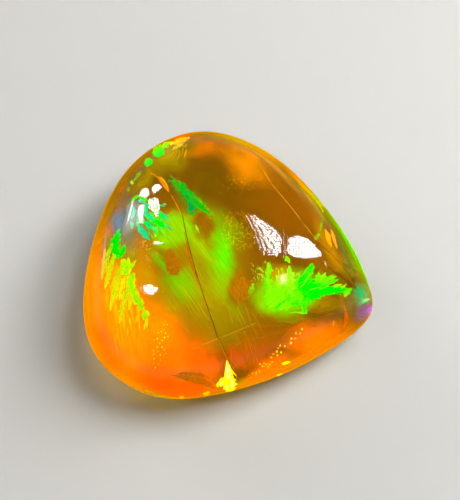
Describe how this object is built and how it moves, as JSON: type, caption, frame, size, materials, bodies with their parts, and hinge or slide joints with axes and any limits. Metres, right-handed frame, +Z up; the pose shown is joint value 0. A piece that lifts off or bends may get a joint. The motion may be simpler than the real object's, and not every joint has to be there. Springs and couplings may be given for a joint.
{
  "type": "opal cabochon",
  "caption": "Free-form polished opal cabochon: clear amber body with green play of colour, high dome, soft point at one end, flat back to rest on.",
  "frame": {"origin": "middle of the stone's footprint box, on the flat back", "axes": "+Z up out of the dome, +X along the length towards the soft point, +Y across"},
  "size_m": [0.0356, 0.0344, 0.0172],
  "materials": {
    "amber_opal": "polished, see-through amber with green play of colour inside"
  },
  "bodies": {
    "root": {"opal_cabochon": "amber_opal"}
  },
  "joints": []
}
